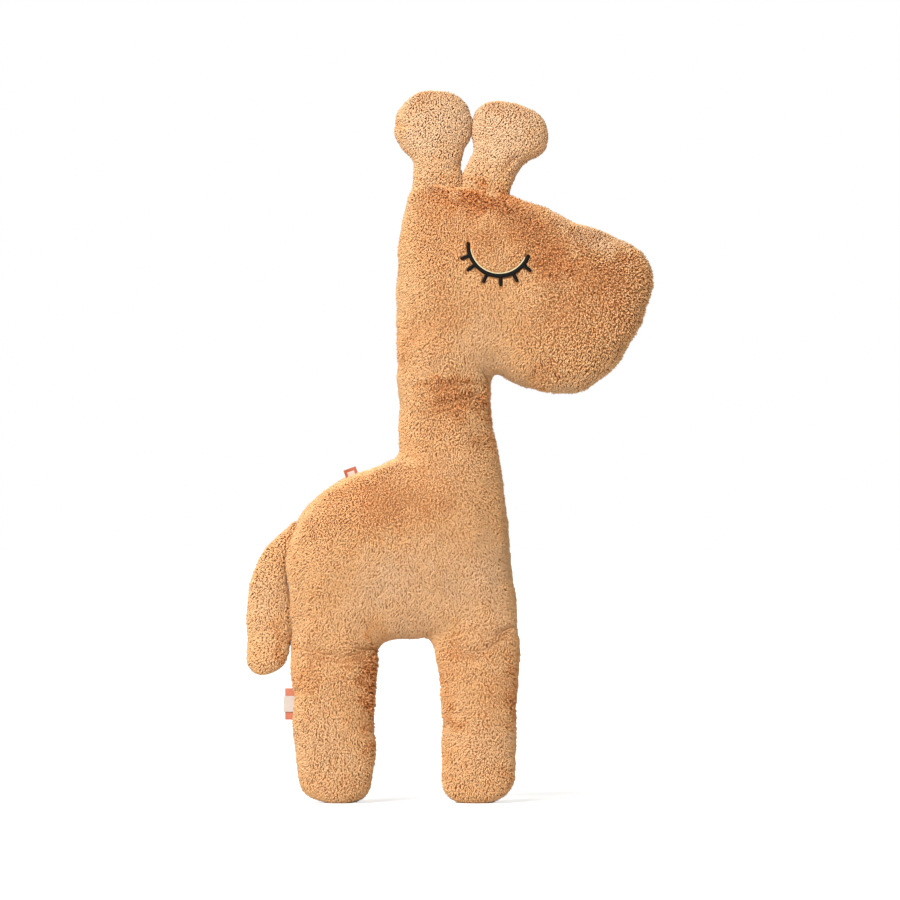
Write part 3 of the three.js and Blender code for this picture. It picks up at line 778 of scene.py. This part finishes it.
def rooted(mesh, per_area, seed):
    """Points spread evenly over a skin with its normals there: triangles are taken in turn by their area,
    and a place in each is drawn at random."""
    draw = np.random.default_rng(seed)
    points, normals, triangles = points_of(mesh), normals_of(mesh), triangles_of(mesh)
    a, b, c = points[triangles].transpose(1, 0, 2)
    total = np.cumsum(np.linalg.norm(np.cross(b - a, c - a), axis=1) / 2)
    count = int(total[-1] * per_area)
    at = (np.arange(count) + draw.random(count)) / count * total[-1]
    chosen = triangles[np.searchsorted(total, at)]
    share = np.sort(draw.random((count, 2)), axis=1)
    weight = np.stack([share[:, 0], share[:, 1] - share[:, 0], 1 - share[:, 1]], 1)[:, :, None]
    return (points[chosen] * weight).sum(1), unit((normals[chosen] * weight).sum(1))


def nap_at(root, normal):
    """The way the pile is brushed at each root, along the skin."""
    side = np.where(root[:, 1] < 0, -1.0, 1.0)
    nap = np.zeros((len(root), 3))
    nap[:, 0] = -NAP_BACKWARDS + NAP_WANDERS * ripples(root, NAP_LENGTH, seed=11)
    nap[:, 1] = NAP_OUTWARDS * side * normal[:, 2]
    nap[:, 2] = -1
    return unit(nap - normal * (nap * normal).sum(1, keepdims=True))


def creased(root, nap):
    """How deep in a fold each root is, from 0 to 1: a bell of its distance a little down the nap."""
    deepest = np.zeros(len(root))
    for line, depth, _ in ALL_FOLDS:
        best, along = beside_fold(root + nap * FALLS_BY, line)
        near = np.exp(-(best / CREASE_WIDTH) ** 2) * faded(along)
        deepest = np.maximum(deepest, near * depth / DEEPEST_FOLD)
    return deepest


def varied(trait, root, coarse, smooth, draw):
    """How far a trait of each lock is off its mean: ripples that gather tufts, and a random part."""
    tufted, more_coarse, seed, stray, less_smooth = VARIES[trait]
    in_tufts = (tufted + more_coarse * coarse) * ripples(root, TUFT_LENGTH, seed)
    return in_tufts + stray * (1 - less_smooth * smooth) * draw.normal(size=len(root))


def locks(name, root, normal, pile_height, radius, seed):
    """Closed buds on the skin, one for each root: a point at the root, a ring at the plumpest place and a
    point at the tip. A bud leaves at the root's lean from the normal and bends to the tip's lean, towards
    the nap. Its points keep two values for the colour: the tone and painted shade, rising from the dark
    root, a painted shade between the locks, to the pale tip, and lowered by the painted shade of pits and
    creases; and how far it is brushed up. The second differs a little round the ring, so that each face
    has some room on the flat map of the two."""
    draw = np.random.default_rng(seed)
    kept = off_thread(root) > 0
    root, normal = root[kept], normal[kept]
    count = len(root)
    nap = nap_at(root, normal)
    across = np.cross(normal, nap)
    raised = brushed(root)
    at_muzzle = np.clip((root[:, 0] - COARSE_FROM) / COARSE_WITHIN, 0, 1)
    coarse = np.clip(raised + MUZZLE_COARSE * at_muzzle, 0, 1)
    smooth = np.clip(-raised, 0, 1)
    pit = np.clip(PIT_CONTRAST * ripples(root, PIT_LENGTH, seed=25) - 1, 0, 1)
    pit *= PITS_SMOOTH + PITS_COARSE * coarse
    crease = creased(root, nap)
    length = 1 + varied("length", root, coarse, smooth, draw)
    speck = (draw.random(count) < SPECK_SHARE) * coarse
    length *= (1 - PIT_SHORTENS * pit) * (1 - CREASE_SHORTENS * crease)
    length = LENGTH_TO_HEIGHT * pile_height * np.clip(length, *LENGTH_LIMITS)[:, None]
    lean = 1 - RISES_BRUSHED * coarse + SINKS_LAID * smooth + varied("lean", root, coarse, smooth, draw)
    lean = np.clip(lean, 0, LEANS_MOST)[:, None]
    twist = varied("twist", root, coarse, smooth, draw)[:, None]
    way = nap * np.cos(twist) + across * np.sin(twist)
    start = normal * np.cos(ROOT_LEAN * lean) + way * np.sin(ROOT_LEAN * lean)
    finish = normal * np.cos(TIP_LEAN * lean) + way * np.sin(TIP_LEAN * lean)
    for _ in range(SHORTENING_ROUNDS):
        middle = root + start * length * PLUMPEST
        tip = middle + finish * length * (1 - PLUMPEST)
        over = np.minimum(off_thread(middle), off_thread(tip)) < EYE_CLEARANCE
        length = np.where(over[:, None], SHORTENED * length, length)
    beside = unit(np.cross(start, way + 0.01 * across))
    below = np.cross(start, beside)
    spin = 2 * math.pi * (np.arange(LOCK_SIDES)[None, :] / LOCK_SIDES + draw.random((count, 1)))
    ring = beside[:, None] * np.cos(spin)[:, :, None] + below[:, None] * np.sin(spin)[:, :, None]
    points = np.concatenate([root[:, None], middle[:, None] + ring * radius, tip[:, None]], 1)
    points[:, :, 2] = np.maximum(points[:, :, 2], SOLE_HEIGHT)
    one = np.array([(0, 2, 1), (0, 3, 2), (0, 1, 3), (1, 2, 4), (2, 3, 4), (3, 1, 4)])
    triangles = (np.arange(count) * 5)[:, None, None] + one
    mesh = mesh_from(name, points.reshape(-1, 3), triangles.reshape(-1, 3))
    # Tone and painted shade: the step from root to tip paints the shade between the locks, pits and creases
    # take off more as painted shade, specks are dark at random, and tufts and coarse places vary the tone.
    tone_and_shade = varied("tone_and_shade", root, coarse, smooth, draw) + COARSE_LIGHTENS * coarse
    tone_and_shade -= PIT_PAINTED_SHADE * pit + CREASE_PAINTED_SHADE * crease + SPECK_DARKENS * speck
    tone_and_shade = np.clip(np.array([0.0, PLUMPEST, PLUMPEST, PLUMPEST, 1.0]) + tone_and_shade[:, None], 0, 1)
    raised = np.clip(raised[:, None] + np.array([0.0, -0.03, 0.0, 0.03, 0.0]), -1, 1)
    for kind, values in (("tone_and_shade", tone_and_shade), ("brushed", raised)):
        stored = mesh.attributes.new(kind, "FLOAT", "POINT").data
        stored.foreach_set("value", values.astype(np.float32).ravel())
    corners = triangles.reshape(-1)
    places = np.stack([tone_and_shade.ravel()[corners], 0.5 + 0.5 * raised.ravel()[corners]], 1)
    laid_out(mesh, MAP_MARGIN + (1 - 2 * MAP_MARGIN) * places)
    return shown(name, mesh)


def past(points, at, way):
    """Which points lie past a plane, in its direction."""
    return (points - np.array(at)) @ np.array(way) > 0


# Torso and head carry more locks than one piece should hold, so their pile is parted along x too. The
# ossicones' feet carry none where they face the crown.
PILE_SPLITS = {
    "torso": (("rump", -60 * MM), ("shoulder", math.inf)),
    "head": (("back_of_head", 20 * MM), ("cheek", 95 * MM), ("muzzle", math.inf)),
}
FOOT_FACING = -0.85
piles = {}
body_root, body_normal = rooted(body.data, LOCKS_PER_AREA, seed=3)
for stretch in skins:
    if stretch in CUTS:
        size = (PILE_HEIGHT, LOCK_RADIUS)
        inside = ~np.any([past(body_root, at, way) for at, way in CUTS[stretch]], axis=0)
        root, normal = body_root[inside], body_normal[inside]
    else:
        size = (SMALL_PILE_HEIGHT, SMALL_LOCK_RADIUS)
        root, normal = rooted(skins[stretch].data, SMALL_LOCKS_PER_AREA, seed=4)
        under_foot = (normal[:, 2] < FOOT_FACING) & (stretch != "tail")
        root, normal = root[~under_foot], normal[~under_foot]
    behind = -math.inf
    for part, ahead in PILE_SPLITS.get(stretch, ((stretch, math.inf),)):
        for panel, side in (("near", -1), ("far", 1)):
            belongs = (root[:, 0] >= behind) & (root[:, 0] < ahead) & (root[:, 1] * side >= 0)
            name = f"{part}_{panel}_pile"
            pile = locks(name, root[belongs], normal[belongs], *size, seed=31 + len(piles))
            piles[name] = (stretch, pile)
        behind = ahead
bpy.data.objects.remove(body)
for stretch, skin in skins.items():
    carried(skin, stretch)
    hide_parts(*soft_solids(stretch))
for stretch, pile in piles.values():
    carried(pile, stretch)

# Polyester plush, cut pile, brushed: warm caramel. Each look runs over three colours, from the root's to
# the tip's, the dark root a painted shade between the fibres. Laid flat it is paler, a painted sheen, and
# brushed up it turns russet and dark, painted shade of the pile's depths.
PLUSH_COLOURS_SHEEN_AND_SHADE = {
    "laid": ("#E2B486", "#E6BA8E", "#EECCA6"),
    "level": ("#D69656", "#E7AE74", "#F5CA96"),
    "brushed": ("#642004", "#CE7630", "#FAB478"),
}
MIDDLE_TONE = 0.6
plush = bpy.data.materials.new("Polyester plush, cut pile, brushed")
plush.use_nodes = True
surface = plush.node_tree.nodes["Principled BSDF"]
along = node(plush, "ShaderNodeAttribute", {"attribute_name": "tone_and_shade"})
standing = node(plush, "ShaderNodeAttribute", {"attribute_name": "brushed"})
shades = {}
for look, (deep, middle, pale) in PLUSH_COLOURS_SHEEN_AND_SHADE.items():
    shades[look] = node(plush, "ShaderNodeValToRGB", Fac=along.outputs["Fac"])
    ramp = shades[look].color_ramp
    ramp.elements[0].color = linear(deep)
    ramp.elements[1].color = linear(pale)
    ramp.elements.new(MIDDLE_TONE).color = linear(middle)
# How far the pile is laid flat mixes in the laid look's painted sheen, and how far it is brushed up the
# brushed look's painted shade.
up = node(plush, "ShaderNodeMapRange", Value=standing.outputs["Fac"])
flat = node(plush, "ShaderNodeMapRange", {"From Min": 0.0, "From Max": -1.0}, Value=standing.outputs["Fac"])
with_laid_sheen = node(
    plush, "ShaderNodeMixRGB", Fac=flat.outputs["Result"], Color1=shades["level"].outputs["Color"],
    Color2=shades["laid"].outputs["Color"],
)
mixed = node(
    plush, "ShaderNodeMixRGB", Fac=up.outputs["Result"], Color1=with_laid_sheen.outputs["Color"],
    Color2=shades["brushed"].outputs["Color"],
)
plush.node_tree.links.new(mixed.outputs["Color"], surface.inputs["Base Color"])
surface.inputs["Roughness"].default_value = 0.8
surface.inputs["Specular IOR Level"].default_value = 0.12
surface.inputs["Sheen Weight"].default_value = 0.12
surface.inputs["Sheen Tint"].default_value = linear("#FFE2BE")
for _, pile in piles.values():
    pile.data.materials.append(plush)

# The two labels: narrow polyester ribbon, woven, folded over once and sewn into the seams by its cut
# ends, coral with a plain pale field on the back and plain coral at the leg, where a white page of satin
# is sewn in with it.
TAPE_THICKNESS = 0.5 * MM
TAPE_STEP = 0.8 * MM
TAPE_BURIED = 6.0 * MM
TAPE_FOLD_POINTS = 9
WAVE_TURN, WAVE_START = 2.2, 0.4
THREAD_PITCH = 0.9 * MM
WAVE_NODE_PITCH = 0.314
FADING_SCALE = 300.0

# A label in millimetres: its root in side view, half its width, how far it stands out and lies off the
# middle plane, its wave, and half its thickness at the fold. Its lean is in degrees.
BACK_LABEL = {
    "root": (-102.3, 343.5), "lean": 110, "half": 6.8, "reach": 8.0,
    "middle": 0.0, "wave": 0.5, "loop": 0.55,
}
CARE_COVER = {
    "root": (-165.8, 104.0), "lean": 180, "half": 16.5, "reach": 6.6,
    "middle": 0.0, "wave": 0.5, "loop": 0.55,
}
CARE_PAGE = {
    "root": (-165.8, 104.0), "lean": 180, "half": 8.5, "reach": 8.2,
    "middle": -1.9, "wave": 0.25, "loop": 0.0,
}


def ribbon_line(reach, loop):
    """A label's line from its root outwards: out on the near side, round the fold and back on the far
    side, or only out where it isn't folded."""
    out = np.linspace(-TAPE_BURIED, reach - loop, int((reach + TAPE_BURIED) / TAPE_STEP) + 1)
    if loop == 0:
        return np.stack([out, np.zeros(len(out))], 1)
    bend = np.linspace(-math.pi / 2, math.pi / 2, TAPE_FOLD_POINTS)[1:-1]
    return np.concatenate([
        np.stack([out, np.full(len(out), -loop)], 1),
        np.stack([reach - loop + loop * np.cos(bend), loop * np.sin(bend)], 1),
        np.stack([out[::-1], np.full(len(out), loop)], 1),
    ])


def ribbon(name, label):
    """A label as a closed band. Its line is offset by half the thickness both ways, and that profile is
    carried across the label's width, with a slow wave in it that grows towards the fold. Its flat map is
    its own length and width."""
    reach = label["reach"] * MM
    line = ribbon_line(reach, label["loop"] * MM)
    ahead = np.gradient(line, axis=0)
    ahead /= np.linalg.norm(ahead, axis=1, keepdims=True)
    square = np.stack([-ahead[:, 1], ahead[:, 0]], 1) * TAPE_THICKNESS / 2
    profile = np.concatenate([line + square, (line - square)[::-1]])
    half = label["half"] * MM
    across = np.linspace(-half, half, int(2 * half / TAPE_STEP) + 2)
    wave = label["wave"] * MM * np.sin(across / half * WAVE_TURN + WAVE_START)[:, None]
    wave = wave * np.clip(profile[:, 0] / reach, 0, 1) ** 2
    far, y = np.broadcast_to(profile[:, 0], wave.shape), profile[:, 1] + wave + label["middle"] * MM
    lean = math.radians(label["lean"])
    way = np.array((math.cos(lean), math.sin(lean)))
    width_way = np.array((way[1], -way[0]))
    flat = np.array(label["root"]) * MM + far[..., None] * way + across[:, None, None] * width_way
    points = np.stack([flat[..., 0], y, flat[..., 1]], -1).reshape(-1, 3)
    around, rows = len(profile), len(across)
    a = np.arange(around)
    b = (a + 1) % around
    row = np.arange(rows - 1)[:, None] * around
    walls = np.concatenate([
        np.stack([row + a, row + b, row + b + around], -1).reshape(-1, 3),
        np.stack([row + a, row + b + around, row + a + around], -1).reshape(-1, 3),
    ])
    k = np.arange(len(line) - 1)
    cap = np.concatenate([
        np.stack([k, around - 1 - k, k + 1], 1),
        np.stack([k + 1, around - 1 - k, around - 2 - k], 1),
    ])
    triangles = np.concatenate([walls, cap, cap[:, ::-1] + (rows - 1) * around])
    mesh = outwards(mesh_from(name, points, triangles))
    run = np.concatenate([[0], np.cumsum(np.linalg.norm(np.diff(line, axis=0), axis=1))])
    run = np.concatenate([run, run[::-1]])
    wide = np.broadcast_to((across + half)[:, None], wave.shape)
    places = np.stack([wide, np.broadcast_to(run, wave.shape)], -1).reshape(-1, 2)
    laid_out(mesh, (places / places.max(0))[corners_of(mesh)])
    return shown(name, mesh)


def in_field(material, edges):
    """One where a ribbon's flat map lies within these edges across and along it, and nothing
    elsewhere."""
    own = node(material, "ShaderNodeUVMap", {"uv_map": "OFBake"})
    apart = node(material, "ShaderNodeSeparateXYZ", Vector=own.outputs["UV"])
    both = node(material, "ShaderNodeMath", {"operation": "MULTIPLY"})
    for k, (low, high) in enumerate(edges):
        within = node(material, "ShaderNodeMath", {"operation": "COMPARE"}, Value=apart.outputs[k])
        within.inputs[1].default_value = (low + high) / 2
        within.inputs[2].default_value = (high - low) / 2
        material.node_tree.links.new(within.outputs["Value"], both.inputs[k])
    return both.outputs["Value"]


def woven(name, colour, field=None):
    """Woven polyester label ribbon: fine warp and weft threads crossing, drawn as wide as they can show,
    with faded patches that break up the flat colour. A field of another colour is given by its colour and
    its edges across and along the ribbon."""
    material = bpy.data.materials.new(name)
    material.use_nodes = True
    surface = material.node_tree.nodes["Principled BSDF"]
    place = node(material, "ShaderNodeTexCoord").outputs["Object"]
    crossing = node(material, "ShaderNodeMath", {"operation": "ADD"})
    for k, way in enumerate(("X", "Z")):
        bands = {"bands_direction": way, "Scale": WAVE_NODE_PITCH / THREAD_PITCH, "Distortion": 0.6}
        threads = node(material, "ShaderNodeTexWave", bands, Vector=place)
        material.node_tree.links.new(threads.outputs["Fac"], crossing.inputs[k])
    faded_patches = node(material, "ShaderNodeTexNoise", {"Scale": FADING_SCALE}, Vector=place)
    tints = {"Color1": linear(colour), "Color2": darker(colour, 0.82)}
    tinted = node(material, "ShaderNodeMixRGB", tints, Fac=faded_patches.outputs["Fac"])
    if field:
        field_colour, *edges = field
        tinted = node(
            material, "ShaderNodeMixRGB", {"Color2": linear(field_colour)}, Fac=in_field(material, edges),
            Color1=tinted.outputs["Color"],
        )
    bump = {"Strength": 0.4, "Distance": THREAD_PITCH / 6}
    relief = node(material, "ShaderNodeBump", bump, Height=crossing.outputs["Value"])
    material.node_tree.links.new(tinted.outputs["Color"], surface.inputs["Base Color"])
    material.node_tree.links.new(relief.outputs["Normal"], surface.inputs["Normal"])
    surface.inputs["Roughness"].default_value = 0.55
    surface.inputs["Sheen Weight"].default_value = 0.2
    return material


coral_with_field = woven(
    "Woven polyester ribbon, coral with a pale field", "#AC4F2A", ("#C4AC9E", (0.22, 0.78), (0.2, 0.38)),
)
coral = woven("Woven polyester ribbon, coral", "#BA6544")
white_satin = woven("Woven polyester satin, white", "#BBADA2")
LABELS = (
    ("back_label_ribbon", BACK_LABEL, coral_with_field, "back_label", "back_label_tape", "coral_tape"),
    ("care_label_ribbon", CARE_COVER, coral, "care_label", "care_label_cover", "coral_tape"),
    ("care_label_satin_page", CARE_PAGE, white_satin, "care_label", "care_label_page", "white_tape"),
)
for name, label, finish, held_by, node_name, slot in LABELS:
    piece = ribbon(name, label)
    piece.data.materials.append(finish)
    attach(piece, held_by)
    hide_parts(node_name)

# The studio: white paper on the table, a large soft light high on the left in front, and a white
# surround. Paper and surround are pure white to the camera only, so that the toy keeps its shading. The
# camera stands far off with a long lens, as the photograph has no perspective.
STUDIO_WHITE = "#FAFAF8"
FLOOR_HALF = 30.0
PAPER_GLOW = 0.6
SURROUND_LIGHT = 0.34
KEY_LIGHT = 4.7
KEY_SOFTNESS = math.radians(35)
KEY_WAY = Vector((0.38, 0.84, -0.42))
CAMERA_PLACE = (0.0005, -12.0, 0.3706)
CAMERA_LENS = 457.2
CAMERA_SENSOR = 36
paper = bpy.data.materials.new("White studio paper, matt")
paper.use_nodes = True
surface = paper.node_tree.nodes["Principled BSDF"]
surface.inputs["Base Color"].default_value = linear(STUDIO_WHITE)
surface.inputs["Roughness"].default_value = 0.9
surface.inputs["Emission Color"].default_value = linear(STUDIO_WHITE)
to_camera = node(paper, "ShaderNodeLightPath").outputs["Is Camera Ray"]
glow = node(paper, "ShaderNodeMapRange", {"To Max": PAPER_GLOW}, Value=to_camera)
paper.node_tree.links.new(glow.outputs["Result"], surface.inputs["Emission Strength"])
corner = np.array([(-1, -1, 0), (1, -1, 0), (1, 1, 0), (-1, 1, 0)]) * FLOOR_HALF
floor = shown("studio_floor", mesh_from("studio_floor", corner, np.array([(0, 1, 2), (0, 2, 3)])))
floor.data.materials.append(paper)

world = bpy.data.worlds.new("White surround")
world.use_nodes = True
bpy.context.scene.world = world
surround = world.node_tree.nodes["Background"]
surround.inputs["Color"].default_value = (1, 1, 1, 1)
to_camera = node(world, "ShaderNodeLightPath").outputs["Is Camera Ray"]
level = node(world, "ShaderNodeMapRange", {"To Min": SURROUND_LIGHT, "To Max": 1.0}, Value=to_camera)
world.node_tree.links.new(level.outputs["Result"], surround.inputs["Strength"])

key = bpy.data.lights.new("soft_key", "SUN")
key.energy = KEY_LIGHT
key.angle = KEY_SOFTNESS
shown("soft_key", key).rotation_euler = KEY_WAY.to_track_quat("-Z", "Y").to_euler()

camera = shown("camera", bpy.data.cameras.new("camera"))
camera.data.lens = CAMERA_LENS
camera.data.sensor_width = CAMERA_SENSOR
camera.location = CAMERA_PLACE
camera.rotation_euler = (math.pi / 2, 0, 0)
bpy.context.scene.camera = camera
bpy.context.scene.view_settings.view_transform = "Standard"
